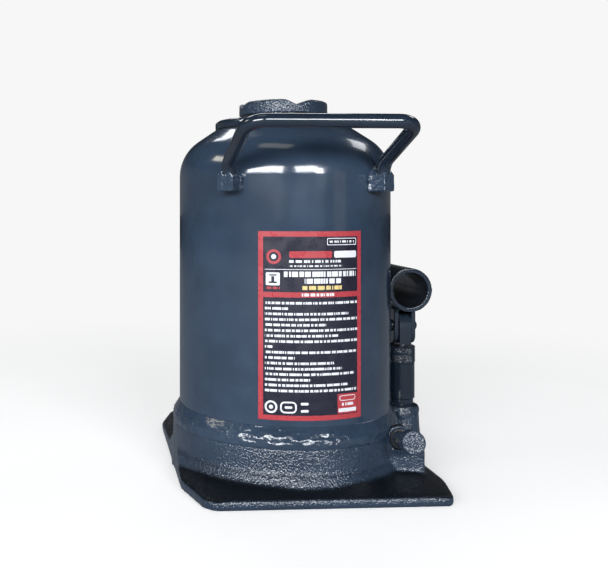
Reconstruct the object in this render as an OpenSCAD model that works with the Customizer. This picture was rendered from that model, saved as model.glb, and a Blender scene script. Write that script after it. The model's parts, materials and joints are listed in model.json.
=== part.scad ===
// Tall-lift hydraulic bottle jack: two telescoping rams and an extension screw in a welded reservoir,
// with a hand pump, a release valve and a carry handle.
// The origin is under the rams, on the ground. +Z is up, -Y is the front with the label, +X is the pump side.

/* [Lift] */
// Height of the saddle's top with everything lowered
closed_h = 240; // [239:0.25:241]
// Travel of the outer ram
outer_lift = 160; // [60:1:160]
// Travel of the inner ram
inner_lift = 156; // [60:1:156]
// Radius of the saddle
saddle_r = 29; // [26:0.5:31]
// Depth of the two crossed grooves in the saddle
saddle_groove = 3.6; // [2:0.2:4]

/* [Foot plate] */
// Reach of the foot plate to the left of the rams
plate_left = 74; // [74:0.5:78]
// Reach of the foot plate to the right
plate_right = 86; // [84:0.5:88]
// Reach of the foot plate to the front
plate_front = 86; // [84:0.5:90]
// Reach of the foot plate to the back
plate_back = 122; // [100:1:126]
// Height of the plate's rim
rim_h = 5.5; // [5:0.25:7]
// Height of the deck where it meets the collar's foot
deck_h = 9.5; // [8:0.25:11]

/* [Reservoir] */
// Outer radius of the reservoir tube
shell_r = 69; // [68.5:0.25:69]
// Wall of the reservoir tube
shell_wall = 3; // [2:0.25:3]
// Height at which the shoulder starts to turn in
shoulder_z = 191; // [190:0.25:192]
// Radius of the shoulder's bend
shoulder_bend = 28; // [26:0.5:28]
// Outer radius of the casting's collar
collar_r = 73; // [72.5:0.25:74]
// Radius of the ring nut on top
nut_r = 45; // [44:0.5:46]
// Number of spanner notches in the ring nut
nut_notches = 8; // [6:1:10]

/* [Carry handle] */
// Radius of the handle's bar
bar_r = 4; // [3.5:0.25:4]
// Half of the distance between the legs
handle_half_w = 47; // [46:0.5:48]
// Distance of the grip in front of the rams
grip_out = 109; // [95:1:112]
// How far the grip leans over to the pump's side
grip_lean = 2.5; // [0:0.5:3]
// Height of the grip
grip_z = 218; // [210:1:222]

/* [Pump] */
// Place of the pump to the right of the rams
pump_x = 84.5; // [84:0.25:86]
// Place of the pump behind the middle
pump_y = 9; // [7:0.5:10]
// Radius of the pump barrel
barrel_r = 8.5; // [8:0.25:8.5]
// Radius of the knurled grip
knurl_r = 8.9; // [8.75:0.05:9.2]
// Radius of the plunger
plunger_r = 5.5; // [5:0.25:5.5]
// Outer radius of the handle socket
socket_r = 14.6; // [14:0.1:14.6]
// Wall of the handle socket
socket_wall = 3; // [2.5:0.25:3.25]
// Length of the handle socket
socket_l = 70; // [56:1:74]

/* [Release valve] */
// Place of the valve to the right of the rams
valve_x = 61; // [60:0.25:62]
// Radius of the screw's head
valve_head_r = 7.1; // [6.5:0.1:7.5]
// Length of the cross pin
cross_pin_l = 15; // [13:0.5:16]

/* [Label] */
// Height of the label
label_h = 111; // [90:1:112]
// Angle that the label wraps round the reservoir
label_wrap = 53.4; // [40:0.2:60]

/* [Hidden] */
$fn = 72;
// Overlap that lets a cut run past a face, and the clearances of fitted and running parts
cut = 1;
fit = 0.05;
joint_gap = 0.25;
paint = "#3b4856";
steel = "#9aa0a6";
bright = "#c4c8cc";
rubber = "#1d1e20";
brass = "#b08d45";

// Base casting
floor_z = 24;
collar_h = 31;
weld_top = 41;
weld_out = 0.3;
foot_r1 = 78;
foot_r2 = 75;
foot_z1 = 8.5;
foot_z2 = 14.5;
collar_foot_r = 74.8;
left_taper = [11, 38];
right_taper = [6.5, 28];
seat_z = 20;
gasket_t = 1.2;

// Pressure cylinder and gland
tube_r = 42;
tube_neck_r = 39;
tube_bore_r = 34;
gland_r = 36;
gland_z = 204;
neck_slope = 34;
neck_r = 46;
bend_x = shell_r - shoulder_bend;
bend_turn = 90 - neck_slope;
neck_z = shoulder_z + shoulder_bend * sin(bend_turn)
    + (bend_x + shoulder_bend * cos(bend_turn) - neck_r) * tan(neck_slope);
shell_seal_t = 0.8;
nut_top = neck_z + shell_seal_t + 5.8;

// Rams: each rests at its lowest, and its piston all but meets the gland above after its full travel
stop_room = 0.2;
outer_r = 30;
outer_bore_r = 24;
outer_z = 26;
outer_ledge_h = 5;
outer_ledge_r = 17;
outer_top = nut_top + 1.2;
piston_h = gland_z - outer_z - outer_lift - stop_room;
inner_r = 19;
inner_z = 32;
inner_top = outer_top + 1;
head_z = outer_top - 25;
inner_piston_h = head_z - inner_z - inner_lift - stop_room;
screw_r = 13;
screw_z = 104;
screw_relief_r = 15;
screw_relief_z = 60;
screw_thread_h = 30;
spigot_r = 8;
spigot_h = 5;
saddle_z = closed_h - 8.8;
stop_z = screw_z + 1;
stop_h = 3;
stop_groove_r = 11.4;

// Pump and lever linkage
boss_r1 = 13;
boss_r2 = 10.8;
boss_h = 36.5;
pad_r = 14;
pump_floor = 20;
chamber_z = 16;
chamber_r = 5;
barrel_neck_r = 7.6;
barrel_neck_h = 4;
barrel_grip_z = 65;
barrel_top = 76;
plunger_z = 23;
eye_pin_z = 89.7;
eye_t = 8;
eye_w = 15;
eye_end_r = 8;
// Room in the plunger's eye for the sideways and upward wander of its pin
eye_slack_y = 1.3;
eye_slack_z = 0.5;
ear_gap = 4.25;
ear_t = 3.15;
pin_r = 2.75;
pin_head_r = 4.2;
pin_head_t = 3;
lever_arm = 26;
fulcrum_y = pump_y + lever_arm;
fulcrum_z = 92.7;
fulcrum_pin_r = 3;
link_foot_z = 46;
link_t = 8;
link_end_r = 6.5;
lug_half_w = 8.2;
lug_r = 8;
socket_z = 115.3;
socket_mouth_y = pump_y - 16.5;

// Release valve: its axis rises towards the front
valve_tilt = 10;
valve_face_y = -50.7;
valve_face_z = 29;
valve_block_r = 8.5;
valve_neck_r = 4.75;
valve_head_out = 15;
valve_head_t = 7.3;
valve_pin_out = 11;
valve_pin_r = 1.75;
valve_bore_deep = 8;
valve_seat_deep = 12.9;
valve_ball_r = 2.2;
valve_seat_r = 1.2;
valve_rise = sqrt(valve_ball_r * valve_ball_r - valve_seat_r * valve_seat_r);
valve_tip_r = 1.6;
valve_counterbore_r = 6;
valve_counterbore_deep = 3;
// Depths at which the oil way from the rams and the one to the reservoir open into the valve
valve_in_deep = 14.6;
valve_out_deep = 10.7;
valve_in_top = 26;

// Check valves and oil ways in the casting
duct_r = 1.5;
well_r = 1.9;
suction_z = 4;
suction_r = 3;
suction_seat_z = 10;
suction_well = [48, 24];
ball_r = 2.4;
ball_seat_r = 1.2;
discharge_at = [66, pump_y];
discharge_bore_r = 4;
discharge_seat_z = 12;
discharge_duct_z = 15.5;
discharge_plug_h = 4;
pressure_z = 8;
pressure_well = [20, pump_y];
overload_at = [-15, -12];
overload_bore_r = 5;
overload_seat_z = 14;
overload_well = [-50, -25];
overload_duct_z = 10;
release_well = [47, -32, 16];
plug_r = 2.5;
plug_l = 4.2;
plug_hole_l = 11;
suction_plug_at = 8;
discharge_plug_at = 7;
hex_sides = 6;

// Carry handle
bracket_r = 5.25;
bracket_h = 14;
bracket_z = 180.5;
bracket_y = -59.7;
handle_bend = 11;
leg_foot_z = bracket_z + 2;
leg_knee_z = 197;

// Label and filler plug
label_t = 0.3;
label_z = 46;
label_turn = 1.5;
filler_z = 172;
filler_r = 6;

// ---- Shared shapes ----

function unit(v) = v / norm(v);

// Points of the arc that rounds one corner of an outline
function corner_arc(before, here, after, r, steps = 6) =
    let (a = unit(before - here), b = unit(after - here), half = acos(a * b) / 2)
    let (centre = here + unit(a + b) * r / sin(half))
    let (first = here + a * r / tan(half) - centre, last = here + b * r / tan(half) - centre)
    let (from = atan2(first.y, first.x), turn = atan2(last.y, last.x) - from)
    let (sweep = turn > 180 ? turn - 360 : turn < -180 ? turn + 360 : turn)
    [for (i = [0 : steps]) centre + r * [cos(from + sweep * i / steps), sin(from + sweep * i / steps)]];

// Outline through corners given as [x, y, radius]
function rounded(corners) =
    let (n = len(corners), at = [for (c = corners) [c[0], c[1]]])
    [for (i = [0 : n - 1])
        each corner_arc(at[(i + n - 1) % n], at[i], at[(i + 1) % n], corners[i][2])];

// Plan of the foot plate: its sides draw in towards the front and the back
plate_outline = rounded([
    [left_taper.x - plate_left, -plate_front, 12], [plate_right - right_taper.x, -plate_front, 6],
    [plate_right, right_taper.y - plate_front, 20], [plate_right, plate_back - right_taper.y, 20],
    [plate_right - right_taper.x, plate_back, 6], [left_taper.x - plate_left, plate_back, 12],
    [-plate_left, plate_back - left_taper.y, 30], [-plate_left, left_taper.y - plate_front, 30]
]);

module ring(r_out, r_in, h) {
    difference() {
        cylinder(r = r_out, h = h);
        translate([0, 0, -cut]) cylinder(r = r_in, h = h + 2 * cut);
    }
}

// Extrudes a drawing in the YZ plane evenly to both sides of x = 0
module across_x(w) {
    translate([-w / 2, 0, 0]) rotate([90, 0, 90]) linear_extrude(w) children();
}

// Cylinder along X, centred on x = 0
module x_rod(r, l) {
    rotate([0, 90, 0]) cylinder(r = r, h = l, center = true);
}

// Straight round hole or bar from one point to another
module bar(from, to, r) {
    v = to - from;
    translate(from) rotate([0, acos(v.z / norm(v)), atan2(v.y, v.x)]) cylinder(r = r, h = norm(v));
}

// Bent bar: the turn at one corner of its path
module elbow(at, d_in, d_out, bend, r) {
    turn = acos(d_in * d_out);
    out = -unit(d_out - d_in * (d_in * d_out));
    up = cross(out, d_in);
    centre = at - d_in * bend * tan(turn / 2) - out * bend;
    multmatrix([
        [out.x, d_in.x, up.x, centre.x], [out.y, d_in.y, up.y, centre.y],
        [out.z, d_in.z, up.z, centre.z], [0, 0, 0, 1]
    ]) rotate_extrude(angle = turn) translate([bend, 0]) circle(r = r);
}

// Bar along a path, with every inner corner bent to the same radius. The straights run a little
// into the bends, which are a hair thicker, so that no two faces meet along a tangent
module bent_bar(path, bend, r) {
    n = len(path);
    lap = 0.5;
    swell = 0.03;
    dirs = [for (i = [0 : n - 2]) unit(path[i + 1] - path[i])];
    back = [for (i = [0 : n - 1])
        i == 0 || i == n - 1 ? 0 : bend * tan(acos(dirs[i - 1] * dirs[i]) / 2)];
    for (i = [0 : n - 2])
        bar(path[i] + dirs[i] * (back[i] - (i == 0 ? 0 : lap)),
            path[i + 1] - dirs[i] * (back[i + 1] - (i == n - 2 ? 0 : lap)), r);
    for (i = [1 : n - 2]) elbow(path[i], dirs[i - 1], dirs[i], bend, r + swell);
}

// Spring: each turn is a flat half ring followed by a half ring that climbs to the next
module coil(r, wire_r, h, turns) {
    pitch = (h - 2 * wire_r) / turns;
    climb = asin(pitch / (2 * r));
    for (i = [0 : turns]) translate([0, 0, wire_r + i * pitch])
        rotate_extrude(angle = i == turns ? 300 : 180, $fn = 36)
            translate([r, 0]) circle(r = wire_r, $fn = 16);
    for (i = [0 : turns - 1]) translate([0, 0, wire_r + (i + 0.5) * pitch]) rotate([0, -climb, 0])
        rotate_extrude(angle = 180, start = 180, $fn = 36) translate([r, 0]) circle(r = wire_r, $fn = 16);
}

module at_pump() {
    translate([pump_x, pump_y, 0]) children();
}

// Frame of the release valve: z = 0 on the block's face, +Z out along the screw
module at_valve() {
    translate([valve_x, valve_face_y, valve_face_z]) rotate([90 - valve_tilt, 0, 0]) children();
}

// Rivet along X with a domed head at each end
module rivet(r, l, head_r, head_t) {
    x_rod(r, l);
    for (s = [-1, 1]) translate([s * l / 2, 0, 0]) rotate([0, s * 90, 0])
        rotate_extrude() intersection() {
            translate([0, head_t - (head_r * head_r + head_t * head_t) / (2 * head_t)])
                circle(r = (head_r * head_r + head_t * head_t) / (2 * head_t));
            square([head_r, head_t]);
        }
}

// ---- Base casting ----

// Foot plate with its upright rim and its sloping deck
module plate() {
    sheet = 0.01;
    hull() {
        linear_extrude(rim_h) polygon(plate_outline);
        translate([0, 0, deck_h]) cylinder(r = plate_left - 1, h = sheet);
    }
}

// Raised ring under the collar, kept clear of the rim where the plate is narrow
module foot_ring() {
    rim_gap = 0.6;
    intersection() {
        union() {
            cylinder(r = foot_r1, h = foot_z1);
            translate([0, 0, foot_z1]) cylinder(r1 = foot_r1, r2 = foot_r2, h = foot_z2 - foot_z1);
        }
        translate([rim_gap - plate_left, -plate_front, 0])
            cube([plate_left + plate_right, 2 * plate_front, foot_z2]);
    }
}

// Forked lug behind the pump that holds the foot of the link
module link_lug() {
    lug_front = fulcrum_y - lug_r;
    lug_back = fulcrum_y + lug_r;
    web_top = boss_h - 6;
    web_low = boss_h - 8;
    slot_z = link_foot_z - link_end_r - 2;
    slot_h = 4 * lug_r;
    translate([pump_x, 0, 0]) difference() {
        across_x(2 * lug_half_w) union() {
            polygon([
                [pump_y, 0], [lug_back, 0], [lug_back, link_foot_z],
                [lug_front, link_foot_z], [lug_front, web_low], [pump_y, web_top]
            ]);
            translate([fulcrum_y, link_foot_z]) circle(r = lug_r);
        }
        translate([0, fulcrum_y, slot_z + slot_h / 2])
            cube([link_t + 2 * joint_gap, 2 * lug_r + 2 * cut, slot_h], center = true);
    }
}

module valve_block() {
    block_x = 54.2;
    block_w = 22.6;
    block_top = 25;
    block_back = -30;
    barrel_l = valve_seat_deep + 6;
    at_valve() translate([0, 0, -barrel_l]) cylinder(r = valve_block_r, h = barrel_l);
    translate([block_x, valve_face_y, 0]) cube([block_w, block_back - valve_face_y, block_top]);
}

module valve_cavity() {
    ball_room = 0.3;
    seat_l = 3;
    at_valve() {
        translate([0, 0, -valve_counterbore_deep])
            cylinder(r = valve_counterbore_r, h = valve_counterbore_deep + cut);
        translate([0, 0, -valve_bore_deep]) cylinder(r = valve_neck_r + fit, h = valve_bore_deep);
        translate([0, 0, -valve_seat_deep]) cylinder(r = valve_ball_r + ball_room, h = valve_seat_deep);
        translate([0, 0, -valve_seat_deep - seat_l]) cylinder(r = valve_seat_r, h = valve_seat_deep);
    }
}

// Place of a point on the valve's axis, at a depth behind the block's face
function in_valve(deep) =
    [valve_x, valve_face_y + deep * cos(valve_tilt), valve_face_z - deep * sin(valve_tilt)];

// Upright drilling from a level up to another
module riser(at, from, to, r) {
    translate([at.x, at.y, from]) cylinder(r = r, h = to - from);
}

// Oil ways: suction, discharge to the rams, release and overload return. Upright ones start a little
// below the level ones that meet them
module oil_ways() {
    below = 2.5;
    duct_lap = 2;
    through = floor_z + 4;
    suction_in = [suction_well.x, suction_well.y, suction_z];
    suction_out = [pump_x, pump_y, suction_z];
    suction_way = unit(suction_out - suction_in);
    discharge_in = [discharge_at.x, pump_y, discharge_duct_z];
    discharge_out = [pump_x, pump_y, discharge_duct_z];
    discharge_way = [1, 0, 0];
    rams_in = [pressure_well.x, pressure_well.y, pressure_z];
    valve_in = in_valve(valve_in_deep);
    // Suction, from the reservoir floor to the pump
    bar(suction_in, suction_out + suction_way * (suction_plug_at + duct_lap), duct_r);
    bar(suction_out + suction_way * suction_plug_at,
        suction_out + suction_way * (suction_plug_at + plug_hole_l), plug_r);
    riser(suction_well, suction_z - below, through, well_r);
    riser(suction_out, suction_z - below, chamber_z + cut, suction_r);
    // Discharge, from the pump past its ball and on to the pressure cylinder
    bar(discharge_in, discharge_out + discharge_way * (discharge_plug_at + duct_lap), duct_r);
    bar(discharge_out + discharge_way * discharge_plug_at,
        discharge_out + discharge_way * (discharge_plug_at + plug_hole_l), plug_r);
    riser(discharge_at, -cut, discharge_seat_z, discharge_bore_r);
    riser(discharge_at, discharge_seat_z - cut, discharge_duct_z, ball_seat_r);
    bar([discharge_at.x, discharge_at.y, pressure_z], rams_in, duct_r);
    riser(pressure_well, pressure_z - below, seat_z + gasket_t, well_r);
    // Release, from the rams past the valve and back to the reservoir
    bar(rams_in, [valve_in.x, valve_in.y, pressure_z], duct_r);
    riser(valve_in, pressure_z - below, valve_in_top, well_r);
    bar(in_valve(valve_out_deep), release_well, ball_seat_r);
    riser(release_well, release_well.z - below, through, well_r);
    // Overload, straight down from the rams and back to the reservoir
    riser(overload_at, -cut, overload_seat_z, overload_bore_r);
    riser(overload_at, overload_seat_z - cut, through, ball_seat_r);
    bar([overload_at.x, overload_at.y, overload_duct_z], [overload_well.x, overload_well.y, overload_duct_z],
        duct_r);
    riser(overload_well, overload_duct_z - below, through, well_r);
}

module base() {
    web_w = 16;
    web_h = 28;
    web_l = pad_r + 4;
    color(paint) difference() {
        union() {
            plate();
            foot_ring();
            cylinder(r1 = collar_foot_r, r2 = collar_r, h = collar_h);
            at_pump() cylinder(r1 = boss_r1, r2 = boss_r2, h = boss_h);
            at_pump() cylinder(r = pad_r, h = rim_h);
            translate([pump_x - web_l, pump_y - web_w / 2, 0]) cube([web_l, web_w, web_h]);
            link_lug();
            valve_block();
        }
        translate([0, 0, floor_z]) cylinder(r = shell_r + fit, h = 2 * collar_h);
        translate([0, 0, seat_z]) cylinder(r = tube_r + fit, h = floor_z);
        translate([0, 0, collar_h]) cylinder(r = collar_r + weld_out + fit, h = collar_h);
        at_pump() translate([0, 0, pump_floor]) cylinder(r = barrel_r + fit, h = boss_h);
        at_pump() translate([0, 0, chamber_z]) cylinder(r = chamber_r, h = floor_z);
        translate([pump_x, fulcrum_y, link_foot_z]) x_rod(fulcrum_pin_r + fit, 2 * lug_half_w + 2 * cut);
        valve_cavity();
        oil_ways();
    }
}

// ---- Reservoir ----

// Half section of the reservoir's outside, drawn in by inset
module shell_section(inset) {
    bend = shoulder_bend - inset;
    drop = inset / cos(neck_slope);
    square([shell_r - inset, shoulder_z]);
    intersection() {
        translate([bend_x, shoulder_z]) circle(r = bend);
        translate([bend_x, shoulder_z]) square([bend, bend]);
    }
    polygon([
        [0, shoulder_z], [bend_x, shoulder_z],
        [bend_x + bend * cos(bend_turn), shoulder_z + bend * sin(bend_turn)],
        [neck_r, neck_z - drop], [0, neck_z - drop]
    ]);
}

module reservoir_shell() {
    flare_h = 3.5;
    toe = [1.5, 2];
    color(paint) difference() {
        rotate_extrude() {
            difference() {
                shell_section(0);
                shell_section(shell_wall);
                square([2 * shell_r, floor_z]);
                translate([0, floor_z]) square([tube_neck_r + fit, 2 * shoulder_z]);
            }
            polygon([
                [shell_r - fit, collar_h + fit], [collar_r + weld_out, collar_h + fit],
                [collar_r, collar_h + flare_h], [shell_r + toe.x, weld_top - toe.y], [shell_r - fit, weld_top]
            ]);
        }
        translate([0, shell_r, filler_z]) rotate([90, 0, 0])
            cylinder(r = filler_r + fit, h = 4 * shell_wall, center = true);
        at_valve() translate([0, 0, -valve_bore_deep])
            cylinder(r = valve_neck_r + 2 * fit, h = 2 * valve_bore_deep);
    }
}

module label() {
    first = 270 + label_turn - label_wrap / 2;
    color("#17181c") rotate([0, 0, first]) rotate_extrude(angle = label_wrap)
        translate([shell_r + fit, label_z]) square([label_t, label_h]);
}

module filler_plug() {
    flange_r = 9;
    flange_t = 2.5;
    flange_edge = 1;
    bulge_r = 5.6;
    neck_l = shell_wall + 4;
    color(rubber) translate([0, 0, filler_z]) rotate([-90, 0, 0]) {
        translate([0, 0, shell_r + fit]) cylinder(r1 = flange_r, r2 = flange_r - flange_edge, h = flange_t);
        translate([0, 0, shell_r - neck_l]) cylinder(r = bulge_r, h = neck_l + fit);
    }
}

// Corners of the handle's middle line, from one foot to the other
handle_path = [
    [-handle_half_w, bracket_y, leg_foot_z], [-handle_half_w, bracket_y, leg_knee_z],
    [grip_lean - handle_half_w, -grip_out, grip_z], [grip_lean + handle_half_w, -grip_out, grip_z],
    [handle_half_w, bracket_y, leg_knee_z], [handle_half_w, bracket_y, leg_foot_z]
];

// Socket for one leg of the handle: an upright block with a peaked top, drilled from above
module bracket() {
    turn = atan2(bracket_y, handle_half_w);
    root = shell_r - 2;
    face = norm([handle_half_w, bracket_y]) + bracket_r - 1;
    shoulder = 4;
    difference() {
        rotate([0, 0, turn]) translate([root, 0, 0]) rotate([90, 0, 90])
            linear_extrude(face - root) polygon([
                [-bracket_r, bracket_z], [bracket_r, bracket_z],
                [bracket_r, bracket_z + bracket_h - shoulder],
                [0, bracket_z + bracket_h],
                [-bracket_r, bracket_z + bracket_h - shoulder]
            ]);
        cylinder(r = shell_r + fit, h = 2 * shoulder_z);
        for (s = [0, 1]) mirror([s, 0, 0]) bent_bar(handle_path, handle_bend, bar_r + fit);
    }
}

module handle_brackets() {
    color(paint) {
        bracket();
        mirror([1, 0, 0]) bracket();
    }
}

module carry_handle() {
    color(paint) bent_bar(handle_path, handle_bend, bar_r);
}

// ---- Pressure cylinder and its gland ----

module main_cylinder() {
    step_z = neck_z - shell_wall / cos(neck_slope);
    bottom = seat_z + gasket_t;
    color(steel) difference() {
        union() {
            translate([0, 0, bottom]) cylinder(r = tube_r, h = step_z - bottom - fit);
            translate([0, 0, bottom]) cylinder(r = tube_neck_r, h = neck_z - bottom);
        }
        translate([0, 0, seat_z]) cylinder(r = tube_bore_r, h = closed_h);
        translate([0, 0, gland_z - fit]) cylinder(r = gland_r, h = closed_h);
    }
}

module cylinder_gasket() {
    color(brass) translate([0, 0, seat_z]) ring(tube_r, tube_bore_r, gasket_t);
}

module shell_seal() {
    inset = 1;
    room = 0.5;
    color(rubber) translate([0, 0, neck_z]) ring(nut_r - inset, tube_neck_r + room, shell_seal_t);
}

gland_seal_z = gland_z + 4;
gland_seal_h = 5;
gland_seal_r = 33.5;
wiper_h = 3;
wiper_sunk = 0.6;
gland_wiper_z = nut_top - wiper_h - wiper_sunk;

module gland_nut() {
    flange_z = neck_z + shell_seal_t;
    notch_r = 4;
    notch_out = 1.2;
    edge = 1.5;
    color(paint) difference() {
        union() {
            translate([0, 0, gland_z]) cylinder(r = gland_r - fit, h = nut_top - gland_z);
            translate([0, 0, flange_z]) cylinder(r = nut_r, h = nut_top - flange_z - edge);
            translate([0, 0, nut_top - edge]) cylinder(r1 = nut_r, r2 = nut_r - edge, h = edge);
        }
        cylinder(r = outer_r + fit, h = closed_h);
        translate([0, 0, gland_seal_z]) cylinder(r = gland_seal_r, h = gland_seal_h);
        translate([0, 0, gland_wiper_z]) cylinder(r = gland_seal_r, h = wiper_h);
        for (i = [0 : nut_notches - 1]) rotate([0, 0, 360 * i / nut_notches])
            translate([nut_r + notch_out, 0, flange_z - cut]) cylinder(r = notch_r, h = nut_top);
    }
}

module gland_seal() {
    color(rubber) translate([0, 0, gland_seal_z]) ring(gland_seal_r, outer_r + fit, gland_seal_h);
}

module gland_wiper() {
    color(rubber) translate([0, 0, gland_wiper_z]) ring(gland_seal_r, outer_r + fit, wiper_h);
}

// ---- Outer ram ----

outer_piston_r = tube_bore_r - fit;
outer_groove_r = 30.5;
outer_groove_z = outer_z + 4;
ring_seal_h = 4.5;
ring_backup_h = 2;

module outer_ram() {
    color(bright) difference() {
        union() {
            translate([0, 0, outer_z]) cylinder(r = outer_r, h = outer_top - outer_z);
            translate([0, 0, outer_z]) cylinder(r = outer_piston_r, h = piston_h);
        }
        translate([0, 0, outer_z + outer_ledge_h]) cylinder(r = outer_bore_r, h = closed_h);
        translate([0, 0, outer_z - cut]) cylinder(r = outer_ledge_r, h = closed_h);
        translate([0, 0, outer_groove_z])
            ring(outer_piston_r + cut, outer_groove_r, ring_seal_h + ring_backup_h);
    }
}

module outer_ram_seal() {
    color(rubber) translate([0, 0, outer_groove_z]) ring(outer_piston_r, outer_groove_r, ring_seal_h);
}

module outer_ram_backup_ring() {
    color("ivory") translate([0, 0, outer_groove_z + ring_seal_h])
        ring(outer_piston_r, outer_groove_r, ring_backup_h);
}

// ---- Gland at the outer ram's top ----

head_seal_r = 21.8;
head_seal_z = head_z + 6;
head_wiper_z = outer_top - wiper_h - wiper_sunk;

module ram_head() {
    key_r = 1.5;
    key_deep = 4;
    key_inset = 0.4;
    first = 45;
    color(steel) difference() {
        translate([0, 0, head_z]) cylinder(r = outer_bore_r - fit, h = outer_top - head_z);
        cylinder(r = inner_r + fit, h = closed_h);
        translate([0, 0, head_seal_z]) cylinder(r = head_seal_r, h = gland_seal_h);
        translate([0, 0, head_wiper_z]) cylinder(r = head_seal_r, h = wiper_h);
        for (a = [0 : 90 : 270]) rotate([0, 0, a + first])
            translate([outer_bore_r - key_inset, 0, outer_top - key_deep])
                cylinder(r = key_r, h = 2 * key_deep);
    }
}

module ram_head_seal() {
    color(rubber) translate([0, 0, head_seal_z]) ring(head_seal_r, inner_r + fit, gland_seal_h);
}

module ram_head_wiper() {
    color(rubber) translate([0, 0, head_wiper_z]) ring(head_seal_r, inner_r + fit, wiper_h);
}

// ---- Inner ram ----

inner_piston_r = outer_bore_r - fit;
inner_groove_r = 20.5;
inner_groove_z = inner_z + 4;
inner_seal_h = 3.5;

module inner_ram() {
    color(bright) difference() {
        union() {
            translate([0, 0, inner_z]) cylinder(r = inner_r, h = inner_top - inner_z);
            translate([0, 0, inner_z]) cylinder(r = inner_piston_r, h = inner_piston_h);
        }
        translate([0, 0, screw_relief_z]) cylinder(r = screw_r + fit, h = closed_h);
        translate([0, 0, screw_relief_z])
            cylinder(r = screw_relief_r, h = inner_top - screw_thread_h - screw_relief_z);
        translate([0, 0, inner_groove_z])
            ring(inner_piston_r + cut, inner_groove_r, inner_seal_h + ring_backup_h);
    }
}

module inner_ram_seal() {
    color(rubber) translate([0, 0, inner_groove_z]) ring(inner_piston_r, inner_groove_r, inner_seal_h);
}

module inner_ram_backup_ring() {
    color("ivory") translate([0, 0, inner_groove_z + inner_seal_h])
        ring(inner_piston_r, inner_groove_r, ring_backup_h);
}

// ---- Extension screw and saddle ----

module extension_screw() {
    color(steel) difference() {
        union() {
            translate([0, 0, screw_z]) cylinder(r = screw_r, h = saddle_z - screw_z);
            translate([0, 0, screw_z]) cylinder(r = spigot_r, h = saddle_z + spigot_h - screw_z);
        }
        translate([0, 0, stop_z]) ring(screw_r + cut, stop_groove_r, stop_h);
    }
}

module screw_stop_ring() {
    gap = 5;
    color(steel) translate([0, 0, stop_z + 2 * fit]) difference() {
        ring(screw_relief_r - 2 * fit, stop_groove_r + fit, stop_h - 4 * fit);
        translate([0, -gap / 2, -cut]) cube([2 * screw_r, gap, stop_h + 2 * cut]);
    }
}

// Cross section of one saddle groove: a V with a rounded bottom and rounded lips
module groove_section() {
    half_w = 10;
    steps = 12;
    polygon(concat(
        [for (i = [-steps : steps])
            [half_w * i / steps, -saddle_groove * (1 + cos(180 * i / steps)) / 2]],
        [[half_w, cut], [-half_w, cut]]
    ));
}

module saddle() {
    groove_turn = 7;
    edge = 2;
    groove_l = 3 * saddle_r;
    color(paint) difference() {
        rotate_extrude() {
            translate([0, saddle_z]) square([saddle_r, closed_h - saddle_z - edge]);
            translate([0, saddle_z]) square([saddle_r - edge, closed_h - saddle_z]);
            translate([saddle_r - edge, closed_h - edge]) circle(r = edge);
        }
        translate([0, 0, saddle_z - cut]) cylinder(r = spigot_r + fit / 2, h = spigot_h + cut);
        for (a = [0, 90]) rotate([0, 0, groove_turn + a]) translate([0, groove_l / 2, closed_h])
            rotate([90, 0, 0]) linear_extrude(groove_l) groove_section();
    }
}

// ---- Pump ----

plunger_seal_z = plunger_z + 3;
plunger_seal_h = 4;
plunger_groove_r = 3.6;
wiper_z = barrel_top - 3.5;
wiper_r = 7;
wiper_t = 2;

module pump_barrel() {
    bottom = pump_floor + gasket_t;
    neck_z0 = boss_h + 0.5;
    color(paint) at_pump() difference() {
        union() {
            translate([0, 0, bottom]) cylinder(r = barrel_r, h = neck_z0 - bottom);
            translate([0, 0, bottom]) cylinder(r = barrel_neck_r, h = barrel_top - bottom);
            translate([0, 0, boss_h + barrel_neck_h])
                cylinder(r = barrel_r, h = barrel_grip_z - boss_h - barrel_neck_h);
            translate([0, 0, barrel_grip_z]) cylinder(r = knurl_r, h = barrel_top - barrel_grip_z);
        }
        cylinder(r = plunger_r + fit, h = closed_h);
        translate([0, 0, wiper_z]) cylinder(r = wiper_r, h = wiper_t);
    }
}

module pump_gasket() {
    color(brass) at_pump() translate([0, 0, pump_floor]) ring(barrel_r, plunger_r + fit, gasket_t);
}

module plunger_wiper() {
    color(rubber) at_pump() translate([0, 0, wiper_z]) ring(wiper_r, plunger_r + fit, wiper_t);
}

module pump_plunger() {
    eye_z = barrel_top + 1;
    stem_r = 4.1;
    stem_top = eye_z + 2;
    slide_top = barrel_top - 0.8;
    play = 0.1;
    slot_y = 2 * (pin_r + play) + eye_slack_y;
    slot_z = 2 * pin_r + eye_slack_z;
    color(bright) at_pump() difference() {
        union() {
            translate([0, 0, plunger_z]) cylinder(r = plunger_r, h = slide_top - plunger_z);
            translate([0, 0, plunger_z]) cylinder(r = stem_r, h = stem_top - plunger_z);
            across_x(eye_t) union() {
                translate([-eye_w / 2, eye_z]) square([eye_w, eye_pin_z - eye_z]);
                translate([0, eye_pin_z]) intersection() {
                    circle(r = eye_end_r);
                    square([eye_w, 2 * eye_end_r], center = true);
                }
            }
        }
        translate([0, 0, plunger_seal_z]) ring(plunger_r + cut, plunger_groove_r, plunger_seal_h);
        across_x(2 * eye_t) translate([pin_r + play - slot_y, eye_pin_z - pin_r - play])
            square([slot_y, slot_z]);
    }
}

module plunger_seal() {
    color(rubber) at_pump() translate([0, 0, plunger_seal_z])
        ring(plunger_r, plunger_groove_r, plunger_seal_h);
}

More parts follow.
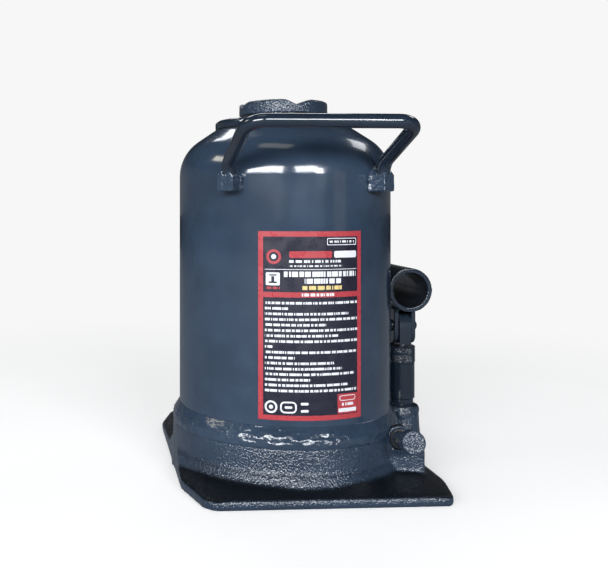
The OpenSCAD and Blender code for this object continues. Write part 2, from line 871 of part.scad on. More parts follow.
// Tube that takes the pump handle, on two ears that straddle the plunger's eye and the link
module handle_socket() {
    bore_r = socket_r - socket_wall;
    ear_top = socket_z - bore_r - 1;
    front = pump_y - 6.5;
    front_low = eye_pin_z - 12;
    step_y = [front + 14, front + 21];
    back = fulcrum_y + 9;
    back_low = fulcrum_z - 10.2;
    spread = 3;
    soft = 0.5;
    bend = [6, 8];
    lock_hole_r = 2;
    lock_hole_at = [socket_mouth_y + 9, socket_z - 2];
    color(paint) translate([pump_x, 0, 0]) difference() {
        union() {
            translate([0, socket_mouth_y, socket_z]) rotate([-90, 0, 0]) cylinder(r = socket_r, h = socket_l);
            for (s = [-1, 1]) translate([s * (ear_gap + ear_t / 2), 0, 0]) across_x(ear_t)
                polygon(rounded([
                    [front, ear_top, soft], [front, front_low, bend[0]], [step_y[0], front_low, bend[1]],
                    [step_y[1], back_low, bend[1]], [back, back_low, bend[1]], [back + spread, ear_top, soft]
                ]));
        }
        translate([0, socket_mouth_y - cut, socket_z]) rotate([-90, 0, 0])
            cylinder(r = bore_r, h = socket_l + 2 * cut);
        translate([0, pump_y, eye_pin_z]) x_rod(pin_r, 4 * socket_r);
        translate([0, fulcrum_y, fulcrum_z]) x_rod(fulcrum_pin_r, 4 * socket_r);
        translate([-socket_r, lock_hole_at.x, lock_hole_at.y]) x_rod(lock_hole_r, 2 * socket_wall);
    }
}

module plunger_pin() {
    color(steel) translate([pump_x, pump_y, eye_pin_z])
        rivet(pin_r, 2 * (ear_gap + ear_t), pin_head_r, pin_head_t);
}

module fulcrum_pin() {
    head_r = pin_head_r + 0.5;
    color(steel) translate([pump_x, fulcrum_y, fulcrum_z])
        rivet(fulcrum_pin_r, 2 * (ear_gap + ear_t), head_r, pin_head_t);
}

module link_bar() {
    color(paint) translate([pump_x, 0, 0]) difference() {
        across_x(link_t) union() {
            translate([fulcrum_y - link_end_r, link_foot_z])
                square([2 * link_end_r, fulcrum_z - link_foot_z]);
            translate([fulcrum_y, link_foot_z]) circle(r = link_end_r);
            translate([fulcrum_y, fulcrum_z]) circle(r = link_end_r);
        }
        translate([0, fulcrum_y, link_foot_z]) x_rod(fulcrum_pin_r + fit, 2 * link_t);
        translate([0, fulcrum_y, fulcrum_z]) x_rod(fulcrum_pin_r + fit, 2 * link_t);
    }
}

module link_pin() {
    head_t = 2;
    color(steel) translate([pump_x, fulcrum_y, link_foot_z])
        rivet(fulcrum_pin_r, 2 * lug_half_w + 2 * fit, pin_head_r, head_t);
}

// ---- Release valve ----

module release_screw() {
    tip_deep = valve_bore_deep - 1;
    edge = 0.6;
    edge_z = valve_head_out + valve_head_t - edge;
    color(paint) at_valve() difference() {
        union() {
            translate([0, 0, -tip_deep]) cylinder(r = valve_neck_r, h = tip_deep + valve_head_out + cut);
            translate([0, 0, -valve_seat_deep + valve_rise + valve_ball_r])
                cylinder(r = valve_tip_r, h = tip_deep);
            translate([0, 0, valve_head_out]) cylinder(r = valve_head_r, h = edge_z - valve_head_out);
            translate([0, 0, edge_z]) cylinder(r1 = valve_head_r, r2 = valve_head_r - edge, h = edge);
        }
        translate([0, 0, valve_pin_out]) x_rod(valve_pin_r, 4 * valve_neck_r);
    }
}

module release_cross_pin() {
    color(steel) at_valve() translate([0, 0, valve_pin_out]) x_rod(valve_pin_r, cross_pin_l);
}

module release_ball() {
    color(bright) at_valve() translate([0, 0, -valve_seat_deep + valve_rise]) sphere(r = valve_ball_r);
}

module release_seal() {
    inset = 0.2;
    seal_h = 2.2;
    color(rubber) at_valve() translate([0, 0, inset - valve_counterbore_deep])
        ring(valve_counterbore_r - fit, valve_neck_r + fit, seal_h);
}

// ---- Check valves and plugs in the casting ----

ball_rise = sqrt(ball_r * ball_r - ball_seat_r * ball_seat_r);

module suction_ball() {
    color(bright) at_pump() translate([0, 0, suction_seat_z + ball_rise]) sphere(r = ball_r);
}

module suction_seat_plug() {
    seat_h = 3;
    color(steel) at_pump() translate([0, 0, suction_seat_z - seat_h])
        ring(suction_r - fit, ball_seat_r, seat_h);
}

module oil_filter() {
    cup_r = 5;
    cup_h = 6;
    mesh_t = 1;
    color(brass) translate([suction_well.x, suction_well.y, floor_z]) difference() {
        cylinder(r = cup_r, h = cup_h);
        translate([0, 0, -mesh_t]) cylinder(r = cup_r - mesh_t, h = cup_h);
    }
}

module discharge_ball() {
    color(bright) translate([discharge_at.x, discharge_at.y, discharge_seat_z - ball_rise])
        sphere(r = ball_r);
}

module discharge_spring() {
    coil_r = 2;
    wire_r = 0.35;
    turns = 3;
    top = discharge_seat_z - ball_rise - ball_r;
    color(steel) translate([discharge_at.x, discharge_at.y, discharge_plug_h + fit])
        coil(coil_r, wire_r, top - discharge_plug_h - 2 * fit, turns);
}

// Depth below the casting's underside at which its plugs start, and the depth of their keys
plug_inset = 0.2;
key_deep = 2;

module discharge_plug() {
    key_r = 1.6;
    color(steel) translate([discharge_at.x, discharge_at.y, plug_inset]) difference() {
        cylinder(r = discharge_bore_r - fit, h = discharge_plug_h - plug_inset);
        translate([0, 0, -cut]) cylinder(r = key_r, h = key_deep + cut, $fn = hex_sides);
    }
}

overload_adjuster_z = 3;
overload_spring_z = 6;

module overload_ball() {
    color(bright) translate([overload_at.x, overload_at.y, overload_seat_z - ball_rise]) sphere(r = ball_r);
}

module overload_spring() {
    coil_r = 2.4;
    wire_r = 0.5;
    turns = 3;
    top = overload_seat_z - ball_rise - ball_r;
    color(steel) translate([overload_at.x, overload_at.y, overload_spring_z + fit])
        coil(coil_r, wire_r, top - overload_spring_z - 2 * fit, turns);
}

module overload_adjuster() {
    key_r = 2;
    color(steel) translate([overload_at.x, overload_at.y, overload_adjuster_z]) difference() {
        cylinder(r = overload_bore_r - fit, h = overload_spring_z - overload_adjuster_z);
        translate([0, 0, -cut]) cylinder(r = key_r, h = key_deep + cut, $fn = hex_sides);
    }
}

module overload_cap() {
    cap_h = overload_adjuster_z - 2 * plug_inset;
    slot_l = 8;
    slot_w = 1.2;
    slot_deep = 1;
    color(steel) translate([overload_at.x, overload_at.y, plug_inset]) difference() {
        cylinder(r = overload_bore_r - fit, h = cap_h);
        translate([-slot_l / 2, -slot_w / 2, -cut]) cube([slot_l, slot_w, slot_deep + cut]);
    }
}

module passage_plug() {
    key_r = 1.3;
    difference() {
        cylinder(r = plug_r - fit, h = plug_l);
        translate([0, 0, plug_l - key_deep]) cylinder(r = key_r, h = 2 * plug_l, $fn = hex_sides);
    }
}

module passage_plugs() {
    heading = atan2(pump_y - suction_well.y, pump_x - suction_well.x);
    color(steel) {
        translate([pump_x, pump_y, suction_z]) rotate([0, 90, heading])
            translate([0, 0, suction_plug_at + fit]) passage_plug();
        translate([pump_x, pump_y, discharge_duct_z]) rotate([0, 90, 0])
            translate([0, 0, discharge_plug_at + fit]) passage_plug();
    }
}

base();
reservoir_shell();
label();
handle_brackets();
carry_handle();
filler_plug();
main_cylinder();
cylinder_gasket();
shell_seal();
gland_nut();
gland_seal();
gland_wiper();
outer_ram();
outer_ram_seal();
outer_ram_backup_ring();
ram_head();
ram_head_seal();
ram_head_wiper();
inner_ram();
inner_ram_seal();
inner_ram_backup_ring();
extension_screw();
screw_stop_ring();
saddle();
pump_barrel();
pump_gasket();
plunger_wiper();
pump_plunger();
plunger_seal();
handle_socket();
plunger_pin();
fulcrum_pin();
link_bar();
link_pin();
release_screw();
release_cross_pin();
release_ball();
release_seal();
suction_ball();
suction_seat_plug();
oil_filter();
discharge_ball();
discharge_spring();
discharge_plug();
overload_ball();
overload_spring();
overload_adjuster();
overload_cap();
passage_plugs();
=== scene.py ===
import json
import math
import random

import bpy
import bmesh
import numpy as np
from mathutils import Matrix, Vector, noise


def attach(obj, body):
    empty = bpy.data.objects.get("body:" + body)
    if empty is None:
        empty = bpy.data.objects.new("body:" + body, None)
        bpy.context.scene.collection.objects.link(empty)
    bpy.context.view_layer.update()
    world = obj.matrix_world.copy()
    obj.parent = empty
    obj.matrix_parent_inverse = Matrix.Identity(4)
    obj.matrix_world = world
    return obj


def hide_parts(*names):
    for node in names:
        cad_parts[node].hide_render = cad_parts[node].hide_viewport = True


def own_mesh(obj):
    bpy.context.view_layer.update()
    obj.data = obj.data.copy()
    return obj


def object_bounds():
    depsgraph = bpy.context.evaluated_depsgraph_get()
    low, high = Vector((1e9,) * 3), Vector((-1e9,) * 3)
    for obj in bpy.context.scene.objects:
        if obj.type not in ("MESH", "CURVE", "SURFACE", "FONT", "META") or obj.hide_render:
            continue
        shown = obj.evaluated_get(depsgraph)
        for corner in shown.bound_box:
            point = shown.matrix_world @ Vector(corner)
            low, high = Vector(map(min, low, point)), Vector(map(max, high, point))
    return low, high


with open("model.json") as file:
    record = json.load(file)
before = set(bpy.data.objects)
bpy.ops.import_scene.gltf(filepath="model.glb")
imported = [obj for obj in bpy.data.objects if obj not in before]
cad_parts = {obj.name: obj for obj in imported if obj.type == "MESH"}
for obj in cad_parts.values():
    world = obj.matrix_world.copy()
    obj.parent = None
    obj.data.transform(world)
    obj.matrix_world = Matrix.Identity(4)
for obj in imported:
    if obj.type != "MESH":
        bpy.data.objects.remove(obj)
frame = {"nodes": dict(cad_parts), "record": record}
CAD_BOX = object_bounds()

MM = 0.001
NODES = frame["nodes"]

# The CAD part's own dimensions, in millimetres and degrees
SHELL_R = 69.0
COLLAR_TOP, WELD_TOP = 31.0, 41.0
HANDLE_X, HANDLE_Y, GRIP_LEAN = 47.0, -59.7, 2.5
GRIP_Y, GRIP_Z = -109.0, 218.0
KNEE_Z, LEG_FOOT_Z = 197.0, 182.55
ROD_R, ROD_BEND = 4.0, 11.0
BRACKET_Z0, BRACKET_Z1 = 180.5, 194.5
PUMP = (84.5, 9.0)
BOSS_R = 10.0
BARREL_R, BARREL_Z0, BARREL_Z1 = 8.9, 36.0, 75.98
KNURL_Z0, KNURL_Z1 = 65.4, 75.4
EYE_Z = 76.6
SOCKET_Z, SOCKET_MOUTH_Y, SOCKET_BORE_R = 115.3, -7.5, 11.6
EAR_TOP, EAR_Y0, EAR_Y1 = 102.3, 3.5, 46.0
SCREW_R, SCREW_Z0, SCREW_Z1, SCREW_TOP, PITCH = 13.0, 104.0, 231.0, 236.0, 6.0
SADDLE_Z = 231.5
NUT_BORE_R = 31.0
PLUG_R, PLUG_Z = 69.05, 172.0
LABEL_R = 69.35
LABEL_Z0, LABEL_H = 46.0, 111.0
LABEL_TURN, LABEL_WRAP = 1.5, 53.4


# ---------------------------------------------------------------- mesh tools

def link(name, mesh):
    obj = bpy.data.objects.new(name, mesh)
    bpy.context.scene.collection.objects.link(obj)
    return obj


def from_points(name, verts, faces):
    """A new object from points in millimetres."""
    mesh = bpy.data.meshes.new(name)
    mesh.from_pydata([tuple(c * MM for c in v) for v in verts], [], faces)
    mesh.update()
    return link(name, mesh)


def shade(obj, angle=None):
    for p in obj.data.polygons:
        p.use_smooth = True
    if angle is not None:
        obj.data.set_sharp_from_angle(angle=math.radians(angle))


def outward(obj):
    bm = bmesh.new()
    bm.from_mesh(obj.data)
    bmesh.ops.remove_doubles(bm, verts=bm.verts, dist=1e-7)
    bmesh.ops.recalc_face_normals(bm, faces=bm.faces)
    bm.to_mesh(obj.data)
    bm.free()


def apply_modifiers(obj):
    deps = bpy.context.evaluated_depsgraph_get()
    mesh = bpy.data.meshes.new_from_object(obj.evaluated_get(deps))
    obj.modifiers.clear()
    obj.data = mesh


def keep_largest(obj, least=0.02):
    """Drops loose bits smaller than a share of the whole, such as closed-off oil ways."""
    bm = bmesh.new()
    bm.from_mesh(obj.data)
    bm.faces.ensure_lookup_table()
    seen, groups = set(), []
    for f in bm.faces:
        if f.index in seen:
            continue
        seen.add(f.index)
        stack, group = [f], []
        while stack:
            g = stack.pop()
            group.append(g)
            for e in g.edges:
                for h in e.link_faces:
                    if h.index not in seen:
                        seen.add(h.index)
                        stack.append(h)
        groups.append(group)
    total = len(bm.faces)
    for group in groups:
        if len(group) < least * total:
            bmesh.ops.delete(bm, geom=group, context="FACES")
    loose = [v for v in bm.verts if not v.link_faces]
    bmesh.ops.delete(bm, geom=loose, context="VERTS")
    bm.to_mesh(obj.data)
    bm.free()


LAYER_OFFSET = 17.3  # keeps the layers of noise apart


def displace(obj, layers, mask=None):
    """Moves vertices along their normals by noise, and never out of the CAD part's box.

    layers are (wavelength, depth) and mask takes points, all in mm.
    """
    mesh = obj.data
    count = len(mesh.vertices)
    co = np.zeros(count * 3)
    no = np.zeros(count * 3)
    mesh.vertices.foreach_get("co", co)
    mesh.vertices.foreach_get("normal", no)
    co = co.reshape(-1, 3)
    no = no.reshape(-1, 3)
    push = np.zeros(count)
    for k, (wave, depth) in enumerate(layers):
        scaled = co / (wave * MM) + LAYER_OFFSET * (k + 1)
        push += depth * MM * np.array([noise.noise(Vector(p)) for p in scaled])
    if mask is not None:
        push *= mask(co / MM)
    moved = np.clip(co + no * push[:, None], CAD_BOX[0], CAD_BOX[1])
    mesh.vertices.foreach_set("co", moved.ravel())
    mesh.update()


def copy_of(name, *nodes):
    """A new object with the joined meshes of CAD nodes."""
    bm = bmesh.new()
    for node in nodes:
        bm.from_mesh(NODES[node].data)
    bmesh.ops.remove_doubles(bm, verts=bm.verts, dist=1e-6)
    mesh = bpy.data.meshes.new(name)
    bm.to_mesh(mesh)
    bm.free()
    return link(name, mesh)


def add_balls(obj, balls):
    """Adds small spheres (x, y, z, r in mm), to be melted into the mesh as weld metal."""
    bm = bmesh.new()
    bm.from_mesh(obj.data)
    for x, y, z, r in balls:
        place = Matrix.Translation((x * MM, y * MM, z * MM))
        bmesh.ops.create_icosphere(bm, subdivisions=2, radius=r * MM, matrix=place)
    bm.to_mesh(obj.data)
    bm.free()


def melt(obj, voxel, rounds, layers=(), mask=None):
    """Turns sharp solids into one casting with softened edges."""
    remesh = obj.modifiers.new("remesh", "REMESH")
    remesh.mode = "VOXEL"
    remesh.voxel_size = voxel * MM
    soft = obj.modifiers.new("soft", "SMOOTH")
    soft.factor = 0.5
    soft.iterations = rounds
    apply_modifiers(obj)
    keep_largest(obj)
    if layers:
        displace(obj, layers, mask)
    shade(obj)


def lathe(name, loop, segments, radial=None, closed=True, at=(0, 0)):
    """Turns a profile of (r, z) in mm about an upright axis.

    radial(r, z, angle) may vary the radius. A profile that isn't closed starts and ends on the
    axis.
    """
    verts, faces = [], []
    rows = len(loop)
    for r, z in loop:
        for i in range(segments):
            a = 2 * math.pi * i / segments
            rr = radial(r, z, a) if radial else r
            verts.append((at[0] + rr * math.cos(a), at[1] + rr * math.sin(a), z))
    last = rows if closed else rows - 1
    for j in range(last):
        k = (j + 1) % rows
        for i in range(segments):
            m = (i + 1) % segments
            faces.append((j * segments + i, j * segments + m, k * segments + m, k * segments + i))
    obj = from_points(name, verts, faces)
    outward(obj)
    return obj


def refine(points, step):
    """Adds points to a polyline so that no gap is longer than step."""
    out = []
    for (r0, z0), (r1, z1) in zip(points, points[1:]):
        n = max(1, math.ceil(math.hypot(r1 - r0, z1 - z0) / step))
        out += [(r0 + (r1 - r0) * i / n, z0 + (z1 - z0) * i / n) for i in range(n)]
    return out + [points[-1]]


def sweep(name, path, radius, segments=28):
    """Round bar along a path of points in mm, with closed ends."""
    pts = [Vector(p) for p in path]
    verts, faces = [], []
    side = Vector((1, 0, 0))
    for i, p in enumerate(pts):
        d = (pts[min(i + 1, len(pts) - 1)] - pts[max(i - 1, 0)]).normalized()
        if abs(side.dot(d)) > 0.95:
            side = Vector((0, 0, 1))
        side = (side - d * side.dot(d)).normalized()
        up = d.cross(side)
        for k in range(segments):
            a = 2 * math.pi * k / segments
            verts.append(p + radius * (side * math.cos(a) + up * math.sin(a)))
    for i in range(len(pts) - 1):
        for k in range(segments):
            m = (k + 1) % segments
            a, b = i * segments, (i + 1) * segments
            faces.append((a + k, a + m, b + m, b + k))
    faces.append(tuple(range(segments - 1, -1, -1)))
    faces.append(tuple((len(pts) - 1) * segments + k for k in range(segments)))
    obj = from_points(name, verts, faces)
    outward(obj)
    return obj


def bend_path(corners, bend, steps=12):
    """Points along straight runs joined by arcs."""
    pts = [Vector(c) for c in corners]
    out = [pts[0]]
    for a, b, c in zip(pts, pts[1:], pts[2:]):
        u, v = (a - b).normalized(), (c - b).normalized()
        half = u.angle(v) / 2
        centre = b + (u + v).normalized() * bend / math.sin(half)
        p0 = b + u * bend / math.tan(half)
        p1 = b + v * bend / math.tan(half)
        e0, e1 = (p0 - centre).normalized(), (p1 - centre).normalized()
        turn = e0.angle(e1)
        for i in range(steps + 1):
            t = i / steps
            e = (e0 * math.sin((1 - t) * turn) + e1 * math.sin(t * turn)) / math.sin(turn)
            out.append(centre + e * bend)
    return out + [pts[-1]]


# ---------------------------------------------------------------- materials

class Net:
    """Short calls for building a node material."""

    def __init__(self, name):
        self.mat = bpy.data.materials.new(name)
        self.mat.use_nodes = True
        self.tree = self.mat.node_tree
        self.bsdf = self.tree.nodes["Principled BSDF"]
        coords = self.tree.nodes.new("ShaderNodeTexCoord")
        self.where = coords.outputs["Object"]
        self.uv = coords.outputs["UV"]

    def put(self, value, socket):
        if isinstance(value, bpy.types.NodeSocket):
            self.tree.links.new(value, socket)
        elif isinstance(value, (tuple, list)) and len(value) == 3 and socket.type == "RGBA":
            socket.default_value = (*value, 1.0)
        else:
            socket.default_value = value

    def math(self, op, a, b=0.0):
        n = self.tree.nodes.new("ShaderNodeMath")
        n.operation = op
        self.put(a, n.inputs[0])
        self.put(b, n.inputs[1])
        return n.outputs[0]

    def noise(self, wave_mm, detail=3.0, rough=0.5, stretch=None):
        n = self.tree.nodes.new("ShaderNodeTexNoise")
        n.inputs["Scale"].default_value = 1.0 / (wave_mm * MM)
        n.inputs["Detail"].default_value = detail
        n.inputs["Roughness"].default_value = rough
        where = self.where
        if stretch:
            m = self.tree.nodes.new("ShaderNodeMapping")
            m.inputs["Scale"].default_value = stretch
            self.put(where, m.inputs["Vector"])
            where = m.outputs[0]
        self.put(where, n.inputs["Vector"])
        return n.outputs["Fac"]

    def ramp(self, value, low, high, out_low=0.0, out_high=1.0):
        n = self.tree.nodes.new("ShaderNodeMapRange")
        n.interpolation_type = "SMOOTHSTEP"
        self.put(value, n.inputs["Value"])
        for key, v in (("From Min", low), ("From Max", high),
                       ("To Min", out_low), ("To Max", out_high)):
            n.inputs[key].default_value = v
        return n.outputs[0]

    def mix(self, fac, a, b):
        n = self.tree.nodes.new("ShaderNodeMix")
        n.data_type = "RGBA"
        self.put(fac, n.inputs[0])
        self.put(a, n.inputs[6])
        self.put(b, n.inputs[7])
        return n.outputs[2]

    def bump(self, height, depth_mm, below=None):
        n = self.tree.nodes.new("ShaderNodeBump")
        n.inputs["Strength"].default_value = 1.0
        n.inputs["Distance"].default_value = depth_mm * MM
        self.put(height, n.inputs["Height"])
        if below is not None:
            self.put(below, n.inputs["Normal"])
        return n.outputs[0]

    def set(self, **values):
        for key, v in values.items():
            self.put(v, self.bsdf.inputs[key.replace("_", " ")])
        return self.mat


PAINT = (0.031, 0.051, 0.085)
PAINT_DEEP = (0.023, 0.038, 0.064)
PAINT_DUST = (0.080, 0.098, 0.120)
# lighter edge colour: partly worn paint, partly a painted edge highlight
PAINT_WORN_AND_EDGE_SHEEN = (0.060, 0.085, 0.120)
# painted shade: the dark colour given to the castings' faces turned up
DECK_SHADE = (0.004, 0.005, 0.007)


def enamel(name, grain_mm, grain_depth, peel_depth=0.02, rough=0.16, depth=1.0, top_shade=None,
           dirt=0.12, gloss=0.07):
    """Gloss enamel: grain is the cast or rolled surface under it, peel the paint's own ripple.

    depth below 1 makes the same enamel darker, as painted shade. A casting has a colour for
    its faces turned up: its grain shows in the gloss too, and where it faces up it is that colour
    and dull, as painted shade on its upper faces. Convex edges turn lighter: partly worn paint,
    partly a painted edge highlight.
    """
    n = Net(name)
    tone = n.ramp(n.noise(38, 4, 0.6), 0.35, 0.7)
    colour = n.mix(tone, tuple(c * depth for c in PAINT_DEEP), tuple(c * depth for c in PAINT))
    dust = n.math("MULTIPLY", n.ramp(n.noise(9, 6, 0.7), 0.58, 0.82), dirt)
    colour = n.mix(dust, colour, PAINT_DUST)
    geo = n.tree.nodes.new("ShaderNodeNewGeometry")
    coat, shine = 0.6, 0.5
    # faces turned up take a darker colour and less gloss: painted shade on the upper faces
    if top_shade:
        facing = n.tree.nodes.new("ShaderNodeSeparateXYZ")
        n.put(geo.outputs["True Normal"], facing.inputs[0])
        colour = n.mix(n.ramp(facing.outputs[2], 0.35, 0.8, 0.0, 0.95), colour, top_shade)
        coat = n.ramp(facing.outputs[2], 0.35, 0.8, 0.6, 0.08)
        shine = n.ramp(facing.outputs[2], 0.35, 0.8, 0.5, 0.12)
    # convex edges turn lighter: partly worn paint, partly a painted highlight along the edges
    edge = n.ramp(geo.outputs["Pointiness"], 0.53, 0.62, 0.0, 0.3)
    colour = n.mix(edge, colour, tuple(c * depth for c in PAINT_WORN_AND_EDGE_SHEEN))
    scuff = n.ramp(n.noise(30, 3, 0.5), 0.4, 0.72, rough, rough + 0.10)
    peel = n.bump(n.noise(4.5, 2, 0.4), peel_depth)
    grain = n.bump(n.noise(grain_mm, 1.5, 0.5), grain_depth, peel)
    return n.set(Base_Color=colour, Roughness=scuff, Normal=grain, Coat_Weight=coat,
                 Specular_IOR_Level=shine, Coat_Roughness=gloss,
                 Coat_Normal=grain if top_shade else peel, IOR=1.5)


def steel(name, colour, rough, lay, depth=0.006):
    """Bare steel; lay is the stretch of the machining marks along x, y and z."""
    n = Net(name)
    marks = n.noise(1.2, 3, 0.6, lay)
    stain = n.ramp(n.noise(16, 4, 0.6), 0.4, 0.75)
    dark = tuple(c * 0.72 for c in colour)
    return n.set(Base_Color=n.mix(stain, colour, dark), Metallic=1.0, Normal=n.bump(marks, depth),
                 Roughness=n.ramp(marks, 0.3, 0.7, rough, rough + 0.12))


def soft(name, colour, rough, grain_mm=0.6, depth=0.03):
    """Rubber or plastic with a fine moulded grain."""
    n = Net(name)
    tone = n.ramp(n.noise(5, 3), 0.35, 0.7)
    light = tuple(min(1.0, c * 1.6 + 0.005) for c in colour)
    return n.set(Base_Color=n.mix(tone, colour, light), Normal=n.bump(n.noise(grain_mm, 2), depth),
                 Roughness=n.ramp(n.noise(3, 3), 0.3, 0.7, rough, rough + 0.15))


# depth below 1 paints the one enamel darker, as painted shade: the rod and forged pieces most, the
# castings a little. Castings and heads also get painted shade on their faces turned up.
TANK = enamel("enamel_tank", 2.6, 0.010, dirt=0.0)
CAST = enamel("enamel_cast", 1.1, 0.62, 0.08, 0.12, 0.85, top_shade=DECK_SHADE)
HEAD = enamel("enamel_head", 1.1, 0.62, 0.08, 0.12, 0.85, top_shade=PAINT_DEEP)
FORGED = enamel("enamel_forged", 0.9, 0.05, 0.03, 0.14, 0.42)
WELD = enamel("enamel_weld", 2.2, 0.42, 0.16, 0.16, 0.95, gloss=0.16)
ROD = enamel("enamel_rod", 2.2, 0.03, 0.03, 0.14, 0.45)
# near-black enamel for the inside of the socket's bore: painted shade
BORE_SHADE = enamel("enamel_bore_shade", 1.4, 0.05, 0.03, 0.4, 0.2)
CHROME = steel("ground_steel", (0.60, 0.61, 0.63), 0.12, (1, 1, 30), 0.002)
STEEL = steel("turned_steel", (0.40, 0.40, 0.41), 0.32, (1, 1, 14))
PIN_STEEL = steel("zinc_steel", (0.48, 0.49, 0.50), 0.28, (6, 1, 1))
BRASS = steel("brass", (0.60, 0.40, 0.16), 0.3, (1, 1, 8))
RUBBER = soft("seal_rubber", (0.012, 0.012, 0.013), 0.5)
PLUG = soft("plug_rubber", (0.015, 0.015, 0.016), 0.55)
PTFE = soft("backup_ring_plastic", (0.72, 0.69, 0.60), 0.4, 0.8, 0.01)

SLOT_MATERIAL = {
    "enamel": ROD, "ground_steel": CHROME, "plain_steel": STEEL, "seal_rubber": RUBBER,
    "plug_rubber": PLUG, "brass": BRASS, "backup_ring_plastic": PTFE, "label_film": ROD,
}
for entry in frame["record"]["subparts"]:
    node = NODES[entry["node"]]
    node.data.materials.clear()
    node.data.materials.append(SLOT_MATERIAL[entry["material_slot"]])
for name, mat in (("reservoir_shell", TANK), ("link_bar", FORGED), ("plunger_pin", FORGED),
                  ("fulcrum_pin", FORGED), ("link_pin", FORGED), ("release_cross_pin", PIN_STEEL)):
    NODES[name].data.materials[0] = mat

# The plunger is bright where it slides, and painted from its eye up
plunger = NODES["pump_plunger"].data
plunger.materials.append(FORGED)
for face in plunger.polygons:
    face.material_index = 1 if face.center.z > EYE_Z * MM else 0


def place(obj, body, slot, mat, *replaced):
    """Gives a piece its material, and sets it on its body in place of CAD nodes. slot is not used.
    """
    obj.data.materials.clear()
    obj.data.materials.append(mat)
    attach(obj, body)
    if replaced:
        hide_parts(*replaced)
    return obj


# ---------------------------------------------------------------- castings

# Noise leaves the underside and the reservoir's seat as they are
UNDERSIDE, SEAT_R = 1.5, SHELL_R + 1.5
# Lumps on the pump's boss: angle in radians, height and radius in mm
BOSS_LUMPS = ((-2.0, 30.5, 2.6), (-1.45, 32, 2.2), (-1.0, 29, 2.4), (-2.5, 34.5, 2.0),
              (-0.5, 33, 2.2))

base = copy_of("base_casting", "base")
add_balls(base, [(PUMP[0] + BOSS_R * math.cos(a), PUMP[1] + BOSS_R * math.sin(a), z, r)
                 for a, z, r in BOSS_LUMPS])
melt(base, 1.15, 5, [(7, 0.12), (2.6, 0.07)],
     lambda p: (p[:, 2] > UNDERSIDE) * (np.hypot(p[:, 0], p[:, 1]) > SEAT_R))
place(base, "jack_body", "enamel", CAST, "base")

saddle = copy_of("saddle_head", "saddle")
melt(saddle, 0.6, 5, [(3.2, 0.10), (1.3, 0.08)], lambda p: p[:, 2] > SADDLE_Z)
place(saddle, "screw", "enamel", HEAD, "saddle")

nut = copy_of("ring_nut", "gland_nut")
melt(nut, 0.6, 4, [(5, 0.08), (1.6, 0.05)], lambda p: np.hypot(p[:, 0], p[:, 1]) > NUT_BORE_R)
place(nut, "jack_body", "enamel", FORGED, "gland_nut")

rng = random.Random(7)


def along(a, b, count, r, spread):
    """Weld metal along a line, as balls for add_balls."""
    out = []
    for i in range(count):
        t = (i + 0.5) / count
        out.append(tuple(a[k] + (b[k] - a[k]) * t + rng.uniform(-spread, spread) for k in range(3))
                   + (r * rng.uniform(0.75, 1.2),))
    return out


LEG_ANGLE = math.atan2(HANDLE_Y, HANDLE_X)
BRACKET_EDGE = 5.1   # from the middle of a bracket to its weld
ARCH_Z = BRACKET_Z1 - 4


def by_bracket(side, tangent, out, z):
    """A point near a bracket: along the shell, out from it, and its height."""
    x = (SHELL_R + out) * math.cos(LEG_ANGLE) - tangent * math.sin(LEG_ANGLE)
    y = (SHELL_R + out) * math.sin(LEG_ANGLE) + tangent * math.cos(LEG_ANGLE)
    return (side * x, y, z)


brackets = copy_of("leg_sockets", "handle_brackets")
for side in (1, -1):
    for edge in (-BRACKET_EDGE, BRACKET_EDGE):
        add_balls(brackets, along(by_bracket(side, edge, 0.7, BRACKET_Z0),
                                  by_bracket(side, edge, 0.7, ARCH_Z), 9, 1.25, 0.35))
        add_balls(brackets, along(by_bracket(side, edge, 0.6, ARCH_Z),
                                  by_bracket(side, 0, 0.6, BRACKET_Z1 + 0.4), 5, 1.2, 0.35))
melt(brackets, 0.45, 3, [(3, 0.16), (1.2, 0.08)])
place(brackets, "jack_body", "enamel", WELD, "handle_brackets")

socket = copy_of("lever_socket", "handle_socket")
for s in (-1, 1):
    x = PUMP[0] + s * 7.6
    add_balls(socket, along((x, EAR_Y0, EAR_TOP), (x, EAR_Y1, EAR_TOP), 26, 1.35, 0.25))
for x0, z0, x1, z1 in ((-7, 101.6, -4, 101.0), (4, 101.0, 7, 101.6)):
    add_balls(socket, along((PUMP[0] + x0, 2.6, z0), (PUMP[0] + x1, 2.6, z1), 3, 1.2, 0.2))
melt(socket, 0.5, 3, [(6, 0.06), (1.6, 0.04)], lambda p: np.abs(p[:, 0] - PUMP[0]) > 4.5)
place(socket, "lever", "enamel", FORGED, "handle_socket")
# the inside of the bore gets a near-black copy of the enamel: painted shade in the hollow
socket.data.materials.append(BORE_SHADE)
for face in socket.data.polygons:
    off = math.hypot(face.center.x / MM - PUMP[0], face.center.z / MM - SOCKET_Z)
    if off < SOCKET_BORE_R + 0.4 and face.center.y / MM > SOCKET_MOUTH_Y + 0.8:
        face.material_index = 1

knob = copy_of("release_knob", "release_screw")
melt(knob, 0.35, 3, [(2.2, 0.05), (0.9, 0.04)])
place(knob, "release_knob", "enamel", HEAD, "release_screw")


# ---------------------------------------------------------------- turned pieces

WELD_FOOT = COLLAR_TOP - 2.5


def bead(r, z, a):
    """Lumpy radius of the weld that joins the reservoir to its casting."""
    t = (z - WELD_FOOT) / (WELD_TOP + 1 - WELD_FOOT)
    fade = max(0.0, math.sin(math.pi * min(1.0, max(0.0, t)))) ** 0.7
    p = Vector((math.cos(a) * 8, math.sin(a) * 8, z / 5))
    ripple = noise.noise(p) * 0.9 + noise.noise(p * 1.9) * 0.7 + noise.noise(p * 4.1) * 0.28
    return r + (ripple * 0.6 - 0.15) * fade


